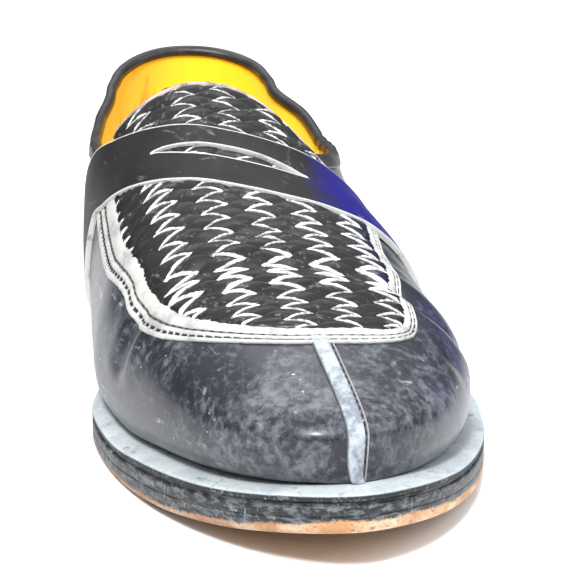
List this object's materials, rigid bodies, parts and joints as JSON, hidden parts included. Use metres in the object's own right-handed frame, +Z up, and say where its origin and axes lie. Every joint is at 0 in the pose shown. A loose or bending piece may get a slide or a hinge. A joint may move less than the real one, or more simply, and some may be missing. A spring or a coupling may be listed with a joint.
{
  "type": "loafer",
  "caption": "Worn black leather penny loafer for the left foot, with a woven apron and tongue, a slotted saddle, a leather sole and a low stacked heel.",
  "frame": {"origin": "centre of the shoe's box on the ground", "axes": "+Z up from the ground, -Y toward the toe, +X toward the outer side of a left foot"},
  "size_m": [0.1142, 0.3, 0.0952],
  "materials": {
    "black_leather": "worn satin with pale scuffs",
    "saddle_leather": "satin with pale raw edges",
    "woven_leather": "satin with pale raw edges",
    "welt_leather": "scuffed matt grey",
    "sole_leather": "blacked edge, worn to tan at the bottom",
    "heel_leather": "blacked stacked leather",
    "heel_rubber": "matt",
    "yellow_lining": "soft matt lining"
  },
  "bodies": {
    "root": {"outsole": "sole_leather", "welt": "welt_leather", "heel": "heel_leather", "top_lift": "heel_rubber", "insole": "yellow_lining", "upper": "black_leather", "saddle": "saddle_leather", "tongue": "woven_leather"}
  },
  "joints": []
}
